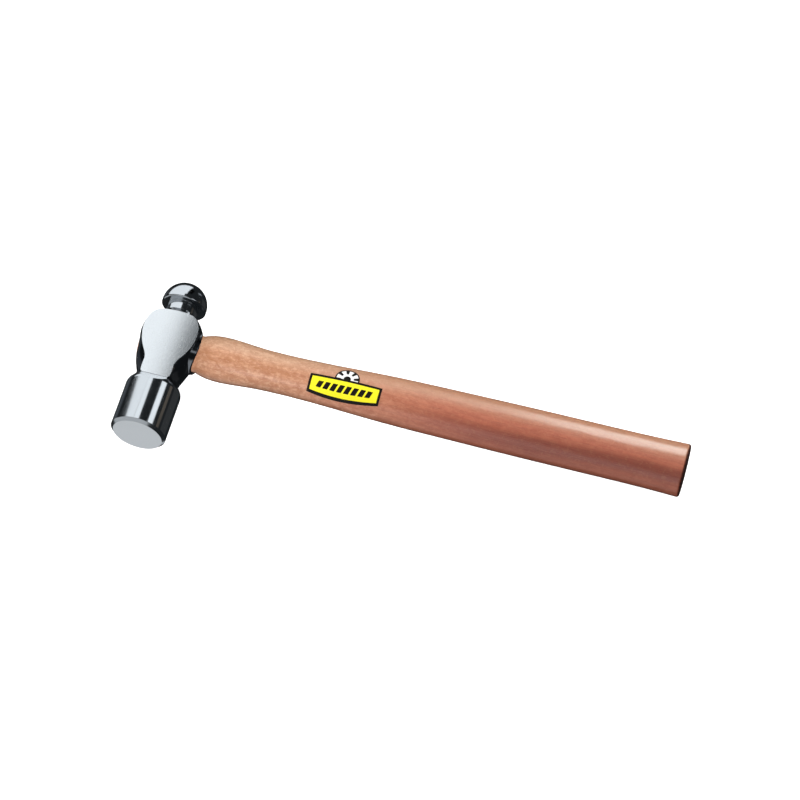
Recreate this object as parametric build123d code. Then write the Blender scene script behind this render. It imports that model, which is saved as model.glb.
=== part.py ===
"""Ball peen hammer: steel head, hardwood handle, two wedges and a printed label.

Modelled about the centre of the eye: X runs along the handle to the butt, Y along the
head towards the ball, Z out of a cheek. Everything is moved at the end so that the
origin is the bottom centre of the bounding box.
"""

import math
import os
from collections import namedtuple

from build123d import *

Station = namedtuple("Station", "at half_width half_depth")

# Poll: the cylindrical striking end
POLL_RADIUS = 20.4
FACE_Y = -75.9
FACE_CHAMFER = 2.2
SHOULDER_Y = -36.5
SHOULDER_ROUND = 6.5
POLL_FOOT_RADIUS = 17.1

# Body: elliptical sections from the waist behind the poll to the neck behind the ball
WAIST = Station(-32.5, 17.2, 17.5)
LOWER_BODY = Station(-21.5, 18.2, 18.4)
EYE_SLOPE = Station(-11.3, 21.0, 21.7)
MIDDLE_BODY = Station(-3.2, 22.4, 26.6)
WIDEST_BODY = Station(4.8, 23.2, 29.0)
UPPER_BODY = Station(14.5, 21.3, 29.5)
CROWN = Station(21.5, 17.1, 20.0)
NECK = Station(26.9, 11.8, 11.8)
BODY_STATIONS = (
    WAIST,
    LOWER_BODY,
    EYE_SLOPE,
    MIDDLE_BODY,
    WIDEST_BODY,
    UPPER_BODY,
    CROWN,
    NECK,
)

# Half-ball peen: a ball cut off flat a little behind its widest circle
BALL_RADIUS = 16.7
BALL_Y = 36.9
BALL_BACK_Y = 34.4
BALL_BACK_ROUND = 1.0

# Cheeks: the two flats, each ending in a ramp up to the poll
CHEEK_Z = 14.6
RAMP_START_Y = -33.1
RAMP_FILLET = 2.2

# Collar: low pad round the eye on the handle's side, its face curved along Y
COLLAR_X = 23.5
COLLAR_FACE_RADIUS = 46.0
COLLAR_HALF_WIDTH = 16.0
COLLAR_HALF_DEPTH = 12.4
COLLAR_TAPER = 14.0

# Eye and the tongue of wood inside it
EYE_HALF_WIDTH = 14.6
EYE_HALF_DEPTH = 10.5
GLUE_GAP = 0.05
TONGUE_END_X = -20.4
TONGUE_SHOULDER_X = 23.6

# Handle: elliptical sections from the eye to the butt
EYE_SWELL = Station(32.8, 17.1, 12.5)
SHOULDER_SWELL = Station(43.0, 17.6, 12.9)
THROAT_ENTRY = Station(64.5, 16.1, 11.7)
THROAT = Station(86.0, 15.5, 11.2)
THROAT_EXIT = Station(118.0, 16.2, 11.7)
GRIP_START = Station(161.0, 18.1, 13.0)
GRIP_FRONT = Station(215.0, 19.1, 13.8)
GRIP_MIDDLE = Station(269.0, 19.6, 14.1)
GRIP_REAR = Station(328.0, 19.7, 14.2)
BUTT_FLARE = Station(365.5, 20.1, 14.5)
BUTT = Station(382.5, 20.6, 14.9)
HANDLE_STATIONS = (
    EYE_SWELL,
    SHOULDER_SWELL,
    THROAT_ENTRY,
    THROAT,
    THROAT_EXIT,
    GRIP_START,
    GRIP_FRONT,
    GRIP_MIDDLE,
    GRIP_REAR,
    BUTT_FLARE,
    BUTT,
)
BUTT_ROUND = 1.7

# Wooden wedge, driven along the long axis of the eye
WOOD_WEDGE_LENGTH = 28.0
WOOD_WEDGE_THICK = 3.8
WOOD_WEDGE_THIN = 0.9

# Steel wedge, driven crosswise over the wooden one
STEEL_WEDGE_LENGTH = 18.0
STEEL_WEDGE_WIDTH = 14.0
STEEL_WEDGE_THICK = 2.8
STEEL_WEDGE_THIN = 0.7
WEDGE_GAP = 0.02

# Label glued on the grip
LABEL_START_X = 107.0
LABEL_LENGTH = 53.2
LABEL_LOW_Y = -12.6
LABEL_HIGH_Y = 0.2
LABEL_LOW_BOW = 2.0
LABEL_HIGH_BOW = 0.8
LABEL_THICKNESS = 0.15
BADGE_RADIUS = 9.0
BADGE_Y = 1.5

# Clearance used only for cutting tools
OVERSHOOT = 20.0


def lofted(stations, plane):
    """Smooth solid through elliptical sections set out along a plane's normal."""
    sections = []
    for station in stations:
        ellipse = Ellipse(station.half_width, station.half_depth)
        sections.append(plane.offset(station.at) * ellipse)
    return loft(sections)


def poll():
    """Chamfered cylinder whose rounded back shoulder runs down to the waist."""
    face_radius = POLL_RADIUS - FACE_CHAMFER
    outline = Polyline(
        (0, FACE_Y),
        (face_radius, FACE_Y),
        (POLL_RADIUS, FACE_Y + FACE_CHAMFER),
        (POLL_RADIUS, SHOULDER_Y),
        (POLL_FOOT_RADIUS, WAIST.at),
        (0, WAIST.at),
        close=True,
    )
    profile = make_face(outline)
    shoulder = profile.vertices().sort_by_distance((POLL_RADIUS, SHOULDER_Y, 0))[0]
    profile = fillet(shoulder, SHOULDER_ROUND)
    return revolve(profile, Axis.Y)


def body():
    """Swelling middle of the head, where the eye is."""
    across = Plane(origin=(0, 0, 0), x_dir=(1, 0, 0), z_dir=(0, 1, 0))
    return lofted(BODY_STATIONS, across)


def peen():
    """Half-ball with a flat back, on a short neck."""
    tip = (0, BALL_Y + BALL_RADIUS)
    widest = (BALL_RADIUS, BALL_Y)
    back_corner = (BALL_RADIUS, BALL_BACK_Y)
    dome = CenterArc((0, BALL_Y), BALL_RADIUS, 0, 90)
    rest = Polyline(
        widest,
        back_corner,
        (NECK.half_width, BALL_BACK_Y),
        (NECK.half_width, NECK.at),
        (0, NECK.at),
        tip,
    )
    profile = make_face(dome + rest)
    corner = profile.vertices().sort_by_distance((*back_corner, 0))[0]
    profile = fillet(corner, BALL_BACK_ROUND)
    return revolve(profile, Axis.Y)


def cheek_cutter():
    """Removes the metal above one cheek, with a ramp where the poll begins."""
    ramp_height = POLL_RADIUS - CHEEK_Z + OVERSHOOT
    reach_y = BALL_BACK_Y
    outline = Polyline(
        (RAMP_START_Y, CHEEK_Z),
        (reach_y, CHEEK_Z),
        (reach_y, CHEEK_Z + ramp_height),
        (RAMP_START_Y - ramp_height, CHEEK_Z + ramp_height),
        close=True,
    )
    profile = Plane.YZ * make_face(outline)
    foot = profile.vertices().sort_by_distance((0, RAMP_START_Y, CHEEK_Z))[0]
    profile = fillet(foot, RAMP_FILLET)
    return extrude(profile, amount=POLL_RADIUS + OVERSHOOT, both=True)


def collar():
    """Pad round the eye on the handle's side."""
    start = Plane(origin=(0, 0, 0), x_dir=(0, 1, 0), z_dir=(1, 0, 0))
    widening = COLLAR_X * math.tan(math.radians(COLLAR_TAPER))
    section = Ellipse(COLLAR_HALF_WIDTH + widening, COLLAR_HALF_DEPTH + widening)
    boss = extrude(start * section, amount=COLLAR_X, taper=COLLAR_TAPER)
    face = Cylinder(COLLAR_FACE_RADIUS, 2 * POLL_RADIUS)
    face = Pos(COLLAR_X - COLLAR_FACE_RADIUS, 0, 0) * face
    return boss & face


def eye():
    """Oval hole that takes the handle."""
    section = Plane.YZ * Ellipse(EYE_HALF_WIDTH, EYE_HALF_DEPTH)
    return extrude(section, amount=POLL_RADIUS + OVERSHOOT, both=True)


def head():
    """Poll, body and ball in one forging, cut flat on both cheeks and pierced by the eye."""
    forging = poll() + body() + collar()
    cutter = cheek_cutter()
    forging = forging - cutter
    forging = forging - mirror(cutter, Plane.XY)
    forging = forging + peen()
    return forging - eye()


def tongue():
    """Wood inside the eye."""
    section = Ellipse(EYE_HALF_WIDTH - GLUE_GAP, EYE_HALF_DEPTH - GLUE_GAP)
    length = TONGUE_SHOULDER_X - TONGUE_END_X
    plane = Plane(origin=(TONGUE_END_X, 0, 0), x_dir=(0, 1, 0), z_dir=(1, 0, 0))
    return extrude(plane * section, amount=length)


def grip_blank(extra=0.0):
    """Shaved handle outside the eye, grown all round by extra."""
    along = Plane(origin=(0, 0, 0), x_dir=(0, 1, 0), z_dir=(1, 0, 0))
    mouth = Station(
        TONGUE_SHOULDER_X,
        EYE_HALF_WIDTH - GLUE_GAP,
        EYE_HALF_DEPTH - GLUE_GAP,
    )
    grown = []
    for station in (mouth, *HANDLE_STATIONS):
        grown.append(
            Station(station.at, station.half_width + extra, station.half_depth + extra)
        )
    return lofted(grown, along)


def wedge(length, thick, thin, width):
    """Tapered block driven in from the end of the tongue, thick end outwards."""
    outline = Polyline(
        (TONGUE_END_X, -thick / 2),
        (TONGUE_END_X, thick / 2),
        (TONGUE_END_X + length, thin / 2),
        (TONGUE_END_X + length, -thin / 2),
        close=True,
    )
    profile = Plane.XZ * make_face(outline)
    return extrude(profile, amount=width / 2, both=True)


def wood_wedge_blank(gap=0.0):
    """Wooden wedge across the whole long axis of the eye."""
    width = 2 * EYE_HALF_WIDTH
    return wedge(
        WOOD_WEDGE_LENGTH + gap,
        WOOD_WEDGE_THICK + 2 * gap,
        WOOD_WEDGE_THIN + 2 * gap,
        width + OVERSHOOT,
    )


def steel_wedge(gap=0.0):
    """Steel wedge, crosswise to the wooden one."""
    upright = wedge(
        STEEL_WEDGE_LENGTH + gap,
        STEEL_WEDGE_THICK + 2 * gap,
        STEEL_WEDGE_THIN + 2 * gap,
        STEEL_WEDGE_WIDTH + 2 * gap,
    )
    return Rot(90, 0, 0) * upright


def handle():
    """Tongue and grip in one stick, slotted for the two wedges and rounded at the butt."""
    stick = grip_blank()
    butt_edge = stick.edges().sort_by(Axis.X)[-1]
    stick = fillet(butt_edge, BUTT_ROUND)
    stick = stick + tongue()
    stick = stick - wood_wedge_blank(WEDGE_GAP)
    return stick - steel_wedge(WEDGE_GAP)


def wood_wedge():
    """Wooden wedge trimmed to the tongue and split by the steel wedge."""
    trimmed = wood_wedge_blank() & tongue()
    return trimmed - steel_wedge(WEDGE_GAP)


def label_outline():
    """Flat shape of the label: a panel with both long edges bowed outwards, and its badge."""
    end_x = LABEL_START_X + LABEL_LENGTH
    middle_x = LABEL_START_X + LABEL_LENGTH / 2
    lower_left = (LABEL_START_X, LABEL_LOW_Y)
    lower_middle = (middle_x, LABEL_LOW_Y - LABEL_LOW_BOW)
    lower_right = (end_x, LABEL_LOW_Y)
    upper_left = (LABEL_START_X, LABEL_HIGH_Y)
    upper_middle = (middle_x, LABEL_HIGH_Y + LABEL_HIGH_BOW)
    upper_right = (end_x, LABEL_HIGH_Y)
    edges = ThreePointArc(lower_left, lower_middle, lower_right)
    edges = edges + Line(lower_right, upper_right)
    edges = edges + ThreePointArc(upper_right, upper_middle, upper_left)
    edges = edges + Line(upper_left, lower_left)
    badge = Pos(middle_x, BADGE_Y) * Circle(BADGE_RADIUS)
    return make_face(edges) + badge


def label():
    """Printed label following the round of the grip."""
    patch = extrude(label_outline(), amount=OVERSHOOT)
    skin = grip_blank(LABEL_THICKNESS) & patch
    return skin - grip_blank()


def main():
    """Build every node and write it about the bottom centre of the whole hammer."""
    nodes = {
        "head": head(),
        "handle": handle(),
        "wood_wedge": wood_wedge(),
        "steel_wedge": steel_wedge(),
        "label": label(),
    }
    bounds = Compound(list(nodes.values())).bounding_box()
    middle = bounds.center()
    to_base = Pos(-middle.X, -middle.Y, -bounds.min.Z)
    os.makedirs("parts", exist_ok=True)
    for name, shape in nodes.items():
        export_step(to_base * shape, f"parts/{name}.step")


main()
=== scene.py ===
"""Looks of a ball peen hammer: polished steel head, varnished hardwood handle, wedges, label.

Everything is in metres, in the frame of the CAD model: X runs along the handle to the
butt, Y along the head to the ball, Z out of the upper cheek.
"""

import math

import bpy
from mathutils import Matrix, Vector


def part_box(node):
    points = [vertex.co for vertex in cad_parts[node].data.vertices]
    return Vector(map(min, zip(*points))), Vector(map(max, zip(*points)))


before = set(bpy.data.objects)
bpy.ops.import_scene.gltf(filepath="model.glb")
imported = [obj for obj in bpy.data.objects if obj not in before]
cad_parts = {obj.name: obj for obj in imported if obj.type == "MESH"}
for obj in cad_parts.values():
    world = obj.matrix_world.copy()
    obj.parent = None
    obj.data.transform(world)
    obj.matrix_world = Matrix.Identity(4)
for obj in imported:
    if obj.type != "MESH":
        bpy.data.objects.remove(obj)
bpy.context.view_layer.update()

MM = 0.001

# Camera, at the photograph's viewing angle
AZIMUTH = math.radians(15.55)
ELEVATION = math.radians(59.5)
DISTANCE = 2.5108
LENS = 156.37
SENSOR_WIDTH = 36.0
AIM = Vector((-0.0108, 0.0242, 0.0010))

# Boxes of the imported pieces
HEAD_LOW, HEAD_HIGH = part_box("head")
HANDLE_LOW, HANDLE_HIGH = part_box("handle")
LABEL_LOW, LABEL_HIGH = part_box("label")
HEAD_MIDDLE = (HEAD_LOW + HEAD_HIGH) / 2
HANDLE_LENGTH = HANDLE_HIGH.x - HANDLE_LOW.x

# Head: depth of a cheek below the poll, and distances along the head from the striking face
CHEEK_DEPTH = 5.8 * MM
FACE_CHAMFER = 2.2 * MM
POLL_MIDDLE = 20.0 * MM
FLANK_START = 40.5 * MM
RAMP_END = 43.0 * MM
FLANK_END = 100.0 * MM

# Cheek crown, seen only in shading: its highest point from the head's middle, and its curvatures
CROWN_X = -8.0 * MM
CROWN_Y = 16.0 * MM
CROWN_ACROSS = -2.6
CROWN_ALONG = -0.5
EDGE_SOFTNESS = 0.45 * MM

# Wood: growth rings about a pith outside the stick, a dark band along the grip towards the butt, and a
# paler, less red strip along the side towards the ball
PITH_BELOW_Y = 55.0 * MM
PITH_BELOW_Z = 20.0 * MM
RING_WIDTH = 3.4 * MM
RING_SLOPE = 0.035
STREAK_Y = HEAD_MIDDLE.y + 3.0 * MM
PALE_SIDE_Y = HEAD_MIDDLE.y + 14.0 * MM

# Printed label
LABEL_PANEL = 12.8 * MM
LABEL_LOW_BOW = 2.0 * MM
LABEL_HIGH_BOW = 0.8 * MM
LABEL_BORDER = 1.8 * MM
PRINT_EDGE = 0.06 * MM
BAR_PITCH = 5.2 * MM
BAR_GAP = 1.5 * MM
BAR_SLANT = -0.35
BAR_HALF_HEIGHT = 1.9 * MM
BAR_EXTRA_HEIGHT = 0.9 * MM
BAR_ROW_HALF = 4 * BAR_PITCH
BADGE_RADIUS = 9.0 * MM
BADGE_RIM = 1.0 * MM
BADGE_TOOTH_ROOT = 4.6 * MM
BADGE_HUB = 2.6 * MM
BADGE_TEETH = 8.0

# Studio: tints of lamps and cards, and the distance of the cards round the poll
WHITE = (1.0, 1.0, 1.0)
COOL = (0.93, 0.975, 1.0)
FACE_TINT = (0.93, 0.97, 1.0)
BLUISH = (0.80, 0.90, 1.0)
GLINT_TINT = (0.85, 0.93, 1.0)
WOODY = (1.0, 0.85, 0.70)
PALE_CYAN = (0.90, 1.0, 1.0)
ROSY = (1.0, 0.90, 0.90)
SKY_REACH = 1.3
FLOOR_REACH = 6.0


# ---------------------------------------------------------------- colours


def rgb(red, green, blue):
    return (red, green, blue, 1.0)


# Steel
POLISHED_DARK = rgb(0.60, 0.625, 0.655)
POLISHED_PALE = rgb(0.68, 0.70, 0.725)
GROUND_DARK = rgb(0.74, 0.76, 0.785)
GROUND_PALE = rgb(0.88, 0.895, 0.91)
# Painted dark reflection: a near-black colour for the polished flanks, standing in for the dark
# surroundings they mirror
FLANK_PAINTED_DARK_REFLECTION = rgb(0.20, 0.21, 0.23)
SCRATCH_GREY = rgb(0.42, 0.44, 0.47)
ROLLED_DARK = rgb(0.30, 0.30, 0.31)
ROLLED_PALE = rgb(0.52, 0.52, 0.53)
RUST = rgb(0.24, 0.15, 0.10)

# Handle wood: first by the head, then by the butt
LIGHT_WOOD = (rgb(0.585, 0.325, 0.190), rgb(0.570, 0.188, 0.112))
DEEP_WOOD = (rgb(0.400, 0.182, 0.088), rgb(0.425, 0.120, 0.072))
PALE_SIDE_WOOD = (rgb(0.490, 0.285, 0.165), rgb(0.405, 0.220, 0.112))
PALE_FLECK = (rgb(0.66, 0.42, 0.27), rgb(0.60, 0.26, 0.16))
PALE_FIBRE = (rgb(0.72, 0.42, 0.27), rgb(0.62, 0.27, 0.18))
RED_PATCH = rgb(0.56, 0.20, 0.13)
RING_BROWN = rgb(0.32, 0.105, 0.065)
STREAK_BROWN = rgb(0.285, 0.082, 0.058)
PORE_BROWN = rgb(0.20, 0.065, 0.040)

# Sawn ends and wooden wedge: early wood, late wood, pores
# Painted shade on the butt end: its end grain colours are darkened far below the tongue end's
BUTT_END_GRAIN_AND_SHADE = (rgb(0.145, 0.050, 0.032), rgb(0.070, 0.024, 0.018), rgb(0.035, 0.012, 0.010))
TONGUE_END = (rgb(0.42, 0.23, 0.12), rgb(0.25, 0.12, 0.06), rgb(0.12, 0.055, 0.03))
WEDGE_DARK = rgb(0.46, 0.27, 0.14)
WEDGE_PALE = rgb(0.70, 0.47, 0.28)
WEDGE_PORE = rgb(0.22, 0.11, 0.05)
WEDGE_STAIN = rgb(0.35, 0.19, 0.10)

# Label print
BLACK_INK = rgb(0.004, 0.004, 0.004)
GREY_INK = rgb(0.012, 0.011, 0.010)
WORN_INK = rgb(0.30, 0.26, 0.08)
DEEP_YELLOW = rgb(0.94, 0.85, 0.020)
PALE_YELLOW = rgb(1.0, 0.95, 0.035)
WORN_YELLOW = rgb(0.80, 0.74, 0.22)
DULL_WHITE = rgb(0.78, 0.79, 0.78)
CLEAN_WHITE = rgb(0.90, 0.90, 0.89)


# ---------------------------------------------------------------- node helpers


class Graph:
    """One procedural material while its nodes are being made."""

    def __init__(self, name):
        self.material = bpy.data.materials.new(name)
        self.material.use_nodes = True
        self.tree = self.material.node_tree
        self.tree.nodes.clear()
        self.output = self.add("ShaderNodeOutputMaterial")
        place = self.add("ShaderNodeTexCoord")
        self.place = place.outputs["Object"]
        self.normal = place.outputs["Normal"]
        parts = self.add("ShaderNodeSeparateXYZ", Vector=self.place)
        self.x, self.y, self.z = parts.outputs

    def add(self, kind, settings=None, **inputs):
        """New node; an input's name has _ for a space, and its value is a socket or a number."""
        made = self.tree.nodes.new(kind)
        for key, value in (settings or {}).items():
            setattr(made, key, value)
        for key, value in inputs.items():
            self.feed(made.inputs[key.replace("_", " ")], value)
        return made

    def feed(self, socket, value):
        """Link a socket to the input, or set the input to a constant."""
        if isinstance(value, bpy.types.NodeSocket):
            self.tree.links.new(value, socket)
        else:
            socket.default_value = value

    def math(self, operation, first, second=0.0, third=None):
        made = self.add("ShaderNodeMath", {"operation": operation})
        self.feed(made.inputs[0], first)
        self.feed(made.inputs[1], second)
        if third is not None:
            self.feed(made.inputs[2], third)
        return made.outputs[0]

    def product(self, first, second):
        return self.math("MULTIPLY", first, second)

    def larger(self, first, second):
        return self.math("MAXIMUM", first, second)

    def distance(self, first, second):
        """Length of the vector with these two components."""
        return self.math("SQRT", self.math("ADD", self.product(first, first), self.product(second, second)))

    def ramp(self, value, low, high, to_low=0.0, to_high=1.0):
        """Smooth step of value from low to high."""
        made = self.add("ShaderNodeMapRange", {"interpolation_type": "SMOOTHSTEP"})
        for socket, number in zip(made.inputs, (value, low, high, to_low, to_high)):
            self.feed(socket, number)
        return made.outputs[0]

    def above(self, value, edge):
        """1 where value is above edge, with the print's small softness."""
        return self.ramp(value, edge - PRINT_EDGE, edge + PRINT_EDGE)

    def below(self, value, edge):
        """1 where value is below edge, with the print's small softness."""
        return self.ramp(value, edge + PRINT_EDGE, edge - PRINT_EDGE)

    def mix(self, share, first, second):
        """Colour mix: share 0 gives first, 1 gives second."""
        made = self.add("ShaderNodeMix", {"data_type": "RGBA"})
        self.feed(made.inputs[0], share)
        self.feed(made.inputs[6], first)
        self.feed(made.inputs[7], second)
        return made.outputs[2]

    def between(self, share, first, second):
        """Number mix: share 0 gives first, 1 gives second."""
        made = self.add("ShaderNodeMix", {"data_type": "FLOAT"})
        self.feed(made.inputs[0], share)
        self.feed(made.inputs[2], first)
        self.feed(made.inputs[3], second)
        return made.outputs[0]

    def scaled(self, x, y, z):
        """Object position with each axis multiplied."""
        made = self.add("ShaderNodeVectorMath", {"operation": "MULTIPLY"})
        self.feed(made.inputs[0], self.place)
        made.inputs[1].default_value = (x, y, z)
        return made.outputs[0]

    def noise(self, vector, scale, detail, roughness=0.5, distortion=0.0):
        made = self.add(
            "ShaderNodeTexNoise",
            Vector=vector,
            Scale=scale,
            Detail=detail,
            Roughness=roughness,
            Distortion=distortion,
        )
        return made.outputs["Fac"]

    def streaky(self, stretch, detail, roughness=0.5, distortion=0.0):
        """Noise with its own number of cells per metre along each axis."""
        return self.noise(self.scaled(*stretch), 1.0, detail, roughness, distortion)

    def bump(self, height, strength, distance, normal=None):
        made = self.add("ShaderNodeBump", Height=height, Strength=strength, Distance=distance)
        if normal is not None:
            self.feed(made.inputs["Normal"], normal)
        return made.outputs["Normal"]

    def finish(self, **inputs):
        """Principled shader with these inputs, linked to the output."""
        shader = self.add("ShaderNodeBsdfPrincipled", **inputs)
        self.tree.links.new(shader.outputs["BSDF"], self.output.inputs["Surface"])
        return self.material


# ---------------------------------------------------------------- steel


def cheek_mask(g, upright, height):
    """1 on the two ground flats."""
    cheek_height = HEAD_HIGH.z - CHEEK_DEPTH - HEAD_MIDDLE.z
    level = g.ramp(height, cheek_height - 0.3 * MM, cheek_height - 0.1 * MM)
    below_poll = g.ramp(height, cheek_height + 0.6 * MM, cheek_height + 0.2 * MM)
    return g.product(g.product(level, below_poll), g.ramp(upright, 0.990, 0.998))


def ramp_mask(g, towards_y, upright):
    """1 on the slopes that lead from the cheeks up to the poll."""
    before_body = g.ramp(g.y, HEAD_LOW.y + RAMP_END + 1 * MM, HEAD_LOW.y + RAMP_END)
    sloping = g.product(g.ramp(towards_y, 0.25, 0.5), before_body)
    return g.product(sloping, g.ramp(upright, 0.5, 0.65))


def painted_reflection_flank_mask(g):
    """1 along the body between the poll and the neck, where a dark reflection is painted into the steel's
    colour.
    """
    start = g.ramp(g.y, HEAD_LOW.y + FLANK_START - 2 * MM, HEAD_LOW.y + FLANK_START)
    end = g.ramp(g.y, HEAD_LOW.y + FLANK_END + 2 * MM, HEAD_LOW.y + FLANK_END)
    return g.product(start, end)


def cheek_crown(g):
    """Height of a very slight crown over the cheek."""
    off_x = g.math("SUBTRACT", g.x, HEAD_MIDDLE.x + CROWN_X)
    off_y = g.math("SUBTRACT", g.y, HEAD_MIDDLE.y + CROWN_Y)
    across = g.product(g.product(off_x, off_x), CROWN_ACROSS)
    return g.math("MULTIPLY_ADD", g.product(off_y, off_y), CROWN_ALONG, across)


def forged_steel():
    """Mirror-polished poll, body and ball, with a painted dark reflection on the body's flanks; satin
    ground cheeks and striking face.
    """
    g = Graph("forged_steel")
    towards = g.add("ShaderNodeSeparateXYZ", Vector=g.normal)
    upright = g.math("ABSOLUTE", towards.outputs[2])
    height = g.math("ABSOLUTE", g.math("SUBTRACT", g.z, HEAD_MIDDLE.z))
    cheek = cheek_mask(g, upright, height)
    face = g.ramp(g.y, HEAD_LOW.y + 0.15 * MM, HEAD_LOW.y + 0.05 * MM)
    chamfer = g.ramp(g.y, HEAD_LOW.y + FACE_CHAMFER + 0.2 * MM, HEAD_LOW.y + FACE_CHAMFER)
    satin = g.larger(g.larger(cheek, face), ramp_mask(g, towards.outputs[1], upright))

    turned = g.streaky((30, 5200, 30), 4.0, 0.6)
    ground = g.streaky((5200, 130, 5200), 4.0, 0.6)
    smears = g.noise(g.place, 75.0, 5.0, 0.62, 0.4)
    cloudy = g.noise(g.place, 26.0, 3.0)
    scratches = g.ramp(g.streaky((6000, 260, 900), 2.0), 0.70, 0.76)

    polished_rough = g.math("MULTIPLY_ADD", smears, 0.10, 0.07)
    polished_rough = g.math("ADD", polished_rough, g.product(chamfer, 0.07))
    satin_rough = g.math("MULTIPLY_ADD", ground, 0.12, 0.20)
    roughness = g.between(satin, polished_rough, satin_rough)
    roughness = g.math("MULTIPLY_ADD", scratches, 0.10, roughness)

    polished = g.mix(cloudy, POLISHED_DARK, POLISHED_PALE)
    # Painted dark reflection: the flanks' own colour is darkened nearly to black, standing in for the dark
    # surroundings the polished steel mirrors there
    polished = g.mix(g.product(painted_reflection_flank_mask(g), 0.85), polished, FLANK_PAINTED_DARK_REFLECTION)
    lines = g.math("MULTIPLY_ADD", ground, 0.5, g.product(cloudy, 0.5))
    ground_steel = g.mix(lines, GROUND_DARK, GROUND_PALE)
    colour = g.mix(satin, polished, ground_steel)
    colour = g.mix(g.product(scratches, 0.25), colour, SCRATCH_GREY)

    softened = g.add("ShaderNodeBevel", {"samples": 6}, Radius=EDGE_SOFTNESS).outputs[0]
    normal = g.bump(g.product(cheek_crown(g), cheek), 1.0, 1.0, softened)
    normal = g.bump(g.between(satin, g.product(turned, 0.35), ground), 0.18, 0.02 * MM, normal)
    normal = g.bump(smears, 0.10, 0.05 * MM, normal)
    return g.finish(Base_Color=colour, Metallic=1.0, Roughness=roughness, Normal=normal)


def wedge_steel():
    """Dull steel with a rolled skin and hammer dents where it was driven in."""
    g = Graph("wedge_steel")
    skin = g.noise(g.place, 420.0, 5.0, 0.65)
    dents = g.noise(g.place, 900.0, 2.0)
    colour = g.mix(g.ramp(skin, 0.35, 0.7), ROLLED_DARK, ROLLED_PALE)
    colour = g.mix(g.ramp(skin, 0.62, 0.75, 0.0, 0.5), colour, RUST)
    roughness = g.math("MULTIPLY_ADD", skin, 0.3, 0.32)
    normal = g.bump(dents, 0.5, 0.15 * MM)
    return g.finish(Base_Color=colour, Metallic=1.0, Roughness=roughness, Normal=normal)


# ---------------------------------------------------------------- wood


def ring_position(g, warp):
    """Place within one growth ring, from 0 at its early wood to 1 at its late wood."""
    pith_y = g.math("SUBTRACT", g.y, HANDLE_LOW.y - PITH_BELOW_Y)
    pith_z = g.math("SUBTRACT", g.z, HANDLE_LOW.z - PITH_BELOW_Z)
    radius = g.distance(pith_y, pith_z)
    radius = g.math("ADD", radius, g.product(warp, 14 * MM))
    radius = g.math("ADD", radius, g.product(g.x, RING_SLOPE))
    return g.math("FRACT", g.math("DIVIDE", radius, RING_WIDTH))


def long_wood(g, along, warp, rings, patches, fibres, pores):
    """Colour of the shaved sides: pale and mottled near the head, redder towards the butt."""
    # Along the handle the colours shift from the head's to the butt's
    butt_blend = g.ramp(along, 0.22, 0.64)
    light = g.mix(butt_blend, *LIGHT_WOOD)
    deep = g.mix(butt_blend, *DEEP_WOOD)
    mottle = g.ramp(g.streaky((130, 210, 210), 4.0, 0.6, 0.5), 0.36, 0.64)
    mottle = g.math("SUBTRACT", mottle, 0.5)
    tone = g.math("MULTIPLY_ADD", mottle, g.between(butt_blend, 1.0, 0.6), 0.5)
    colour = g.mix(tone, deep, light)
    colour = g.mix(g.product(patches, 0.30), colour, RED_PATCH)

    ring_tone = g.larger(g.ramp(rings, 0.45, 0.95), g.ramp(rings, 0.12, 0.0))
    colour = g.mix(g.product(ring_tone, 0.22), colour, RING_BROWN)

    off_streak = g.math("SUBTRACT", g.math("MULTIPLY_ADD", warp, 10 * MM, g.y), STREAK_Y)
    near_streak = g.ramp(g.math("ABSOLUTE", off_streak), 6.5 * MM, 2.0 * MM)
    dark_streak = g.product(near_streak, g.ramp(along, 0.45, 0.72))
    colour = g.mix(g.product(dark_streak, 0.90), colour, STREAK_BROWN)

    # Paler, less red colour along the handle's side towards the ball
    into_pale_side = g.math("MULTIPLY_ADD", warp, 6 * MM, g.math("SUBTRACT", g.y, PALE_SIDE_Y))
    pale_side = g.ramp(into_pale_side, -6 * MM, 8 * MM)
    colour = g.mix(g.product(pale_side, 0.75), colour, g.mix(butt_blend, *PALE_SIDE_WOOD))

    flecks = g.streaky((330, 470, 470), 3.0, 0.6, 0.8)
    dark_flecks = g.product(g.ramp(flecks, 0.50, 0.64), g.between(butt_blend, 0.60, 0.28))
    colour = g.mix(dark_flecks, colour, deep)
    pale_flecks = g.product(g.ramp(flecks, 0.48, 0.36), g.between(butt_blend, 0.45, 0.18))
    colour = g.mix(pale_flecks, colour, g.mix(butt_blend, *PALE_FLECK))

    pale_fibres = g.product(g.ramp(fibres, 0.35, 0.75), 0.25)
    colour = g.mix(pale_fibres, colour, g.mix(butt_blend, *PALE_FIBRE))
    return g.mix(g.product(pores, 0.5), colour, PORE_BROWN)


def end_grain(g, rings, speckle, early, late, pore):
    """Sawn end: growth rings and open pores."""
    colour = g.mix(g.ramp(rings, 0.2, 0.9), early, late)
    return g.mix(g.ramp(speckle, 0.55, 0.7), colour, pore)


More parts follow.
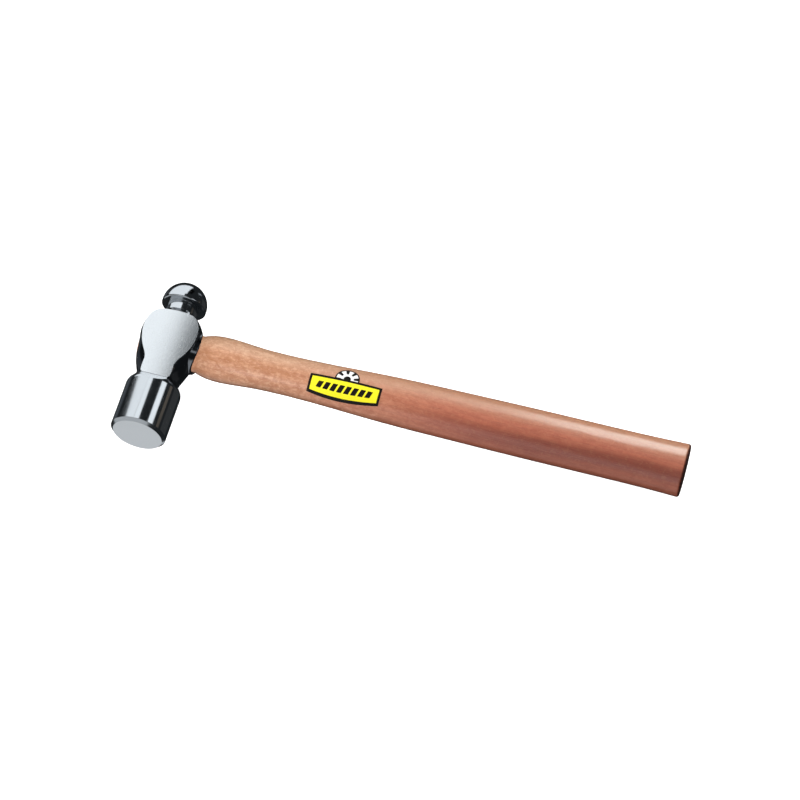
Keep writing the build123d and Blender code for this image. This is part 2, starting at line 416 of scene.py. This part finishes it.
def varnished_wood():
    """Hardwood with long grain, pores and cross mottle under a thin varnish."""
    g = Graph("varnished_wood")
    along = g.math("DIVIDE", g.math("SUBTRACT", g.x, HANDLE_LOW.x), HANDLE_LENGTH)
    warp = g.streaky((9, 40, 40), 2.0)
    rings = ring_position(g, warp)
    patches = g.streaky((16, 60, 60), 3.0)
    fibres = g.streaky((60, 2600, 2600), 4.0, 0.65)
    pore_field = g.ramp(g.streaky((110, 3100, 3100), 2.0), 0.60, 0.68)
    pores = g.product(pore_field, g.between(g.ramp(rings, 0.12, 0.0), 0.45, 1.0))
    colour = long_wood(g, along, warp, rings, patches, fibres, pores)

    speckle = g.streaky((200, 2400, 2400), 3.0, 0.6)
    butt_grain_and_shade = end_grain(g, rings, speckle, *BUTT_END_GRAIN_AND_SHADE)
    # Butt end: end grain with painted shade
    tongue_wood = end_grain(g, rings, speckle, *TONGUE_END)
    butt_end = g.ramp(g.x, HANDLE_HIGH.x - 1.6 * MM, HANDLE_HIGH.x - 0.3 * MM)
    tongue_end = g.ramp(g.x, HANDLE_LOW.x + 0.25 * MM, HANDLE_LOW.x + 0.05 * MM)
    colour = g.mix(butt_end, colour, butt_grain_and_shade)
    colour = g.mix(tongue_end, colour, tongue_wood)

    ends = g.larger(butt_end, tongue_end)
    roughness = g.between(ends, g.math("MULTIPLY_ADD", fibres, 0.16, 0.36), 0.62)
    coat = g.between(ends, g.math("MULTIPLY_ADD", patches, 0.3, 0.62), 0.08)
    relief = g.math("SUBTRACT", g.product(fibres, 0.35), pores)
    waves = g.streaky((28, 120, 120), 2.0)
    return g.finish(
        Base_Color=colour,
        Roughness=roughness,
        Normal=g.bump(waves, 0.25, 0.5 * MM, g.bump(relief, 0.35, 0.06 * MM)),
        Coat_Weight=coat,
        Coat_Roughness=0.20,
        Coat_Normal=g.bump(waves, 0.3, 0.5 * MM),
    )


def wedge_wood():
    """Plain pale hardwood, end grain outwards."""
    g = Graph("wedge_wood")
    fibres = g.streaky((70, 900, 2800), 4.0, 0.6)
    speckle = g.streaky((300, 2600, 2600), 3.0, 0.6)
    stain = g.noise(g.place, 160.0, 3.0)
    colour = g.mix(g.ramp(fibres, 0.3, 0.7), WEDGE_DARK, WEDGE_PALE)
    colour = g.mix(g.product(g.ramp(speckle, 0.5, 0.7), 0.6), colour, WEDGE_PORE)
    colour = g.mix(g.product(stain, 0.4), colour, WEDGE_STAIN)
    roughness = g.math("MULTIPLY_ADD", fibres, 0.2, 0.55)
    normal = g.bump(speckle, 0.5, 0.1 * MM)
    return g.finish(Base_Color=colour, Roughness=roughness, Normal=normal)


# ---------------------------------------------------------------- label


def badge_print(g, from_middle_x):
    """1 where the round toothed badge is black."""
    from_badge_y = g.math("SUBTRACT", g.y, LABEL_HIGH.y - BADGE_RADIUS)
    away = g.distance(from_middle_x, from_badge_y)
    turn = g.math("ARCTAN2", from_badge_y, from_middle_x)
    teeth = g.ramp(g.math("SINE", g.product(turn, BADGE_TEETH)), 0.05, 0.35)
    rim = g.above(away, BADGE_RADIUS - BADGE_RIM)
    gaps = g.product(g.above(away, BADGE_TOOTH_ROOT), teeth)
    hub = g.below(away, BADGE_HUB)
    return g.larger(g.larger(rim, gaps), hub)


def bar_print(g, from_middle_x, from_line, bow):
    """1 on the row of slanted bars, which is tallest in the middle."""
    slanted_x = g.math("MULTIPLY_ADD", from_line, BAR_SLANT, from_middle_x)
    never_negative = g.math("ADD", slanted_x, 40 * BAR_PITCH)
    stripe = g.math("PINGPONG", never_negative, BAR_PITCH / 2)
    in_stripe = g.above(stripe, BAR_GAP / 2)
    half_height = g.math("MULTIPLY_ADD", bow, BAR_EXTRA_HEIGHT, BAR_HALF_HEIGHT)
    in_row = g.above(g.math("SUBTRACT", half_height, g.math("ABSOLUTE", from_line)), 0.0)
    row_end = g.below(g.math("ABSOLUTE", slanted_x), BAR_ROW_HALF)
    return g.product(g.product(in_stripe, in_row), row_end)


def printed_label():
    """Yellow panel in a black frame with slanted bars, and a plain toothed badge above it."""
    g = Graph("printed_label")
    half_length = (LABEL_HIGH.x - LABEL_LOW.x) / 2
    from_middle_x = g.math("SUBTRACT", g.x, (LABEL_LOW.x + LABEL_HIGH.x) / 2)
    share = g.math("DIVIDE", from_middle_x, half_length)
    bow = g.math("SUBTRACT", 1.0, g.product(share, share))
    low_corner = LABEL_LOW.y + LABEL_LOW_BOW
    low_edge = g.math("MULTIPLY_ADD", bow, -LABEL_LOW_BOW, low_corner)
    high_edge = g.math("MULTIPLY_ADD", bow, LABEL_HIGH_BOW, low_corner + LABEL_PANEL)
    to_end = g.math("SUBTRACT", half_length, g.math("ABSOLUTE", from_middle_x))
    to_low = g.math("SUBTRACT", g.y, low_edge)
    to_high = g.math("SUBTRACT", high_edge, g.y)
    inside = g.math("MINIMUM", to_end, g.math("MINIMUM", to_low, to_high))
    on_panel = g.above(to_high, 0.0)
    field = g.above(inside, LABEL_BORDER)
    centre_line = g.product(g.math("ADD", low_edge, high_edge), 0.5)
    bars = bar_print(g, from_middle_x, g.math("SUBTRACT", g.y, centre_line), bow)

    speckle = g.noise(g.place, 2600.0, 2.0)
    fade = g.noise(g.place, 210.0, 4.0, 0.6)
    rubbed = g.ramp(g.streaky((300, 1500, 900), 4.0, 0.6), 0.66, 0.74, 0.0, 0.3)
    ink = g.mix(speckle, BLACK_INK, GREY_INK)
    ink = g.mix(g.product(rubbed, 0.35), ink, WORN_INK)
    yellow = g.mix(fade, DEEP_YELLOW, PALE_YELLOW)
    yellow = g.mix(g.product(rubbed, 0.5), yellow, WORN_YELLOW)
    white = g.mix(fade, DULL_WHITE, CLEAN_WHITE)
    panel_ink = g.larger(g.math("SUBTRACT", 1.0, field), bars)
    panel = g.mix(panel_ink, yellow, ink)
    badge = g.mix(badge_print(g, from_middle_x), white, ink)

    roughness = g.math("MULTIPLY_ADD", fade, 0.14, 0.46)
    roughness = g.math("ADD", roughness, g.product(rubbed, 0.3))
    return g.finish(
        Base_Color=g.mix(on_panel, badge, panel),
        Roughness=roughness,
        Normal=g.bump(speckle, 0.15, 0.03 * MM),
        Specular_IOR_Level=0.22,
    )


def dress(node, material):
    """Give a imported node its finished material."""
    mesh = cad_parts[node].data
    mesh.materials.clear()
    mesh.materials.append(material)
    for face in mesh.polygons:
        face.material_index = 0


# ---------------------------------------------------------------- studio helpers


def facing(direction):
    """Rotation that turns +Z to a direction."""
    return Vector(direction).to_track_quat("Z", "Y").to_matrix().to_4x4()


def compass(azimuth, elevation):
    """Direction by degrees from +Y towards +X, and degrees above the floor."""
    turn = math.radians(azimuth)
    rise = math.radians(elevation)
    flat = math.cos(rise)
    return Vector((flat * math.sin(turn), flat * math.cos(turn), math.sin(rise)))


def empty_tree(owner):
    """Cleared node tree of a material or world."""
    owner.use_nodes = True
    owner.node_tree.nodes.clear()
    return owner.node_tree


def emitter(name, strength, tint):
    material = bpy.data.materials.new(name)
    tree = empty_tree(material)
    light = tree.nodes.new("ShaderNodeEmission")
    light.inputs["Color"].default_value = rgb(*tint)
    light.inputs["Strength"].default_value = strength
    output = tree.nodes.new("ShaderNodeOutputMaterial")
    tree.links.new(light.outputs[0], output.inputs["Surface"])
    return material


def sheet(name, corners, material):
    """Four-cornered sheet for the studio."""
    mesh = bpy.data.meshes.new(name)
    mesh.from_pydata([tuple(corner) for corner in corners], [], [(0, 1, 2, 3)])
    mesh.materials.append(material)
    made = bpy.data.objects.new(name, mesh)
    bpy.context.scene.collection.objects.link(made)
    return made


def grip_point(share):
    """Point over the handle, at a share of the way from the frame's origin to the butt."""
    return Vector((HANDLE_HIGH.x * share, HEAD_MIDDLE.y, HANDLE_HIGH.z))


def around(centre, half_across, half_along):
    """Corners of a parallelogram, by its middle and two half edges."""
    return [
        centre - half_across - half_along,
        centre + half_across - half_along,
        centre + half_across + half_along,
        centre - half_across + half_along,
    ]


def only_for(item, nodes):
    """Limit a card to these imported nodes."""
    group = bpy.data.collections.new(item.name + "_receivers")
    for node in nodes:
        group.objects.link(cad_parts[node])
    item.light_linking.receiver_collection = group


def card(name, corners, strength, tint, nodes=None):
    """Bright sheet that only reflections see."""
    made = sheet(name, corners, emitter(name, strength, tint))
    made.visible_camera = False
    made.visible_diffuse = False
    made.visible_shadow = False
    if nodes:
        only_for(made, nodes)


def sky_card(name, start, azimuths, elevations, strength, tint, nodes=None):
    """Card filling a window of directions as seen from a point."""
    corners = []
    for pick_azimuth, pick_elevation in ((0, 0), (1, 0), (1, 1), (0, 1)):
        way = compass(azimuths[pick_azimuth], elevations[pick_elevation])
        corners.append(start + SKY_REACH * way)
    card(name, corners, strength, tint, nodes)


def lamp(name, way, target, reach, size, power, tint=WHITE):
    """Soft light for diffuse shading only."""
    data = bpy.data.lights.new(name, "AREA")
    data.shape = "SQUARE"
    data.size = size
    data.energy = power
    data.color = tint
    made = bpy.data.objects.new(name, data)
    bpy.context.scene.collection.objects.link(made)
    made.matrix_world = Matrix.Translation(target + reach * way) @ facing(way)
    made.visible_camera = False
    made.visible_glossy = False
    return data


# ---------------------------------------------------------------- studio


def studio_floor():
    """Pale floor, bright enough to look white, that the steel doesn't mirror."""
    material = bpy.data.materials.new("pale_floor")
    tree = empty_tree(material)
    paint = tree.nodes.new("ShaderNodeBsdfDiffuse")
    paint.inputs["Color"].default_value = rgb(0.8, 0.8, 0.8)
    glow = tree.nodes.new("ShaderNodeEmission")
    glow.inputs["Color"].default_value = rgb(*WHITE)
    glow.inputs["Strength"].default_value = 0.96
    both = tree.nodes.new("ShaderNodeAddShader")
    output = tree.nodes.new("ShaderNodeOutputMaterial")
    tree.links.new(paint.outputs[0], both.inputs[0])
    tree.links.new(glow.outputs[0], both.inputs[1])
    tree.links.new(both.outputs[0], output.inputs["Surface"])
    corners = around(Vector(), Vector((FLOOR_REACH, 0, 0)), Vector((0, FLOOR_REACH, 0)))
    floor = sheet("pale_floor", corners, material)
    floor.visible_glossy = False
    floor.visible_diffuse = False
    floor.visible_shadow = False


def studio_world():
    """White to the camera, nearly black to the polished steel."""
    world = bpy.data.worlds.new("studio")
    tree = empty_tree(world)
    seen = tree.nodes.new("ShaderNodeBackground")
    seen.inputs["Color"].default_value = rgb(*WHITE)
    dark = tree.nodes.new("ShaderNodeBackground")
    dark.inputs["Color"].default_value = rgb(0.80, 0.92, 1.0)
    dark.inputs["Strength"].default_value = 0.02
    path = tree.nodes.new("ShaderNodeLightPath")
    pick = tree.nodes.new("ShaderNodeMixShader")
    output = tree.nodes.new("ShaderNodeOutputWorld")
    tree.links.new(path.outputs["Is Camera Ray"], pick.inputs[0])
    tree.links.new(dark.outputs[0], pick.inputs[1])
    tree.links.new(seen.outputs[0], pick.inputs[2])
    tree.links.new(pick.outputs[0], output.inputs["Surface"])
    bpy.context.scene.world = world


def steel_cards():
    """What the polished head mirrors: windows of directions, as seen from the poll."""
    poll = Vector((HEAD_MIDDLE.x, HEAD_LOW.y + POLL_MIDDLE, HEAD_HIGH.z))
    steel = ("head", "steel_wedge")
    sky_card("key_box", poll, (-60, 6), (-2, 50), 1.15, COOL, steel)
    sky_card("top_box", poll, (-70, -7), (50.5, 72), 1.2, COOL, steel)
    sky_card("left_low", poll, (-75, -40), (-45, -16), 0.09, BLUISH)
    sky_card("right_low", poll, (40, 78), (-45, -8), 0.045, COOL)
    sky_card("front_box", poll, (155, 252), (-30, 48), 0.55, COOL)
    sky_card("wood_glow", poll, (57, 64), (2, 14), 0.12, WOODY)
    sky_card("ball_glint", poll, (26, 33), (-12, 3), 0.28, GLINT_TINT)
    overhead = poll + Vector((-0.05, -0.03, 1.1))
    corners = around(overhead, Vector((0.45, 0, 0)), Vector((0, 0.09, 0)))
    card("overhead_strip", corners, 0.55, COOL, steel)


def varnish_card():
    """Long highlight that only the varnish mirrors, on the half of the grip by the butt."""
    half_length = 0.16
    half_height = 0.33
    reach = 1.2
    towards_butt = 0.21
    way = compass(-10, 30)
    side = Vector((1, 0, 0))
    rise = side.cross(way)
    centre = grip_point(0.5) + reach * way + towards_butt * side
    corners = around(centre, half_length * side, half_height * rise)
    card("varnish_streak", corners, 6.8, PALE_CYAN, ("handle",))


def lamps():
    """Diffuse light: two keys from behind, a front fill, and two small lamps at the head."""
    throat = Vector((HANDLE_LOW.x + 70 * MM, HEAD_MIDDLE.y, HANDLE_HIGH.z))
    eye = Vector((HEAD_LOW.x, (HANDLE_LOW.y + HANDLE_HIGH.y) / 2, HEAD_MIDDLE.z))
    key = lamp("key", compass(8, 28), grip_point(0.85), 1.2, 0.5, 2.2)
    key.spread = math.radians(75)
    lamp("soft_key", compass(-20, 35), grip_point(0.5), 1.6, 0.8, 12.6)
    lamp("fill", compass(180, 43), grip_point(0.5), 1.5, 0.8, 11.6, ROSY)
    lamp("near_fill", compass(180, 53), throat, 0.19, 0.08, 0.28)
    lamp("eye_fill", compass(-90, 10), eye, 0.30, 0.10, 0.6)


def rim_card():
    """Small card near the poll: the narrow bright stripe along its right side."""
    half_width = 0.027
    half_length = 0.035
    reach = 0.15
    start = Vector((HEAD_MIDDLE.x + 8 * MM, HEAD_LOW.y + POLL_MIDDLE, HEAD_HIGH.z))
    way = Vector((0.627, 0.489, 0.606)).normalized()
    along = Vector((0, 1, 0))
    across = Vector((0.72, 0, 0.69)).cross(along).normalized()
    corners = around(start + reach * way, half_width * across, half_length * along)
    card("rim_card", corners, 1.25, COOL)


def face_card():
    """Level card under the striking face, which mirrors it as an even grey."""
    half_edge = 0.07
    reach = 0.12
    face_middle = Vector((HEAD_MIDDLE.x, HEAD_LOW.y, HEAD_MIDDLE.z))
    centre = face_middle + reach * Vector((-0.136, -0.489, -0.8616))
    corners = around(centre, Vector((half_edge, 0, 0)), Vector((0, half_edge, 0)))
    card("face_card", corners, 0.62, FACE_TINT)


def studio_camera():
    flat = math.cos(ELEVATION)
    back = Vector((flat * math.sin(AZIMUTH), -flat * math.cos(AZIMUTH), math.sin(ELEVATION)))
    data = bpy.data.cameras.new("camera")
    data.lens = LENS
    data.sensor_width = SENSOR_WIDTH
    camera = bpy.data.objects.new("camera", data)
    bpy.context.scene.collection.objects.link(camera)
    camera.matrix_world = Matrix.Translation(AIM + DISTANCE * back) @ facing(back)
    bpy.context.scene.camera = camera


dress("head", forged_steel())
dress("handle", varnished_wood())
dress("wood_wedge", wedge_wood())
dress("steel_wedge", wedge_steel())
dress("label", printed_label())

# The steel mirrors neither, so that its flanks stay black
for node in ("handle", "label"):
    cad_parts[node].visible_glossy = False

studio_floor()
studio_world()
steel_cards()
varnish_card()
lamps()
rim_card()
face_card()
studio_camera()
bpy.context.scene.view_settings.view_transform = "Standard"
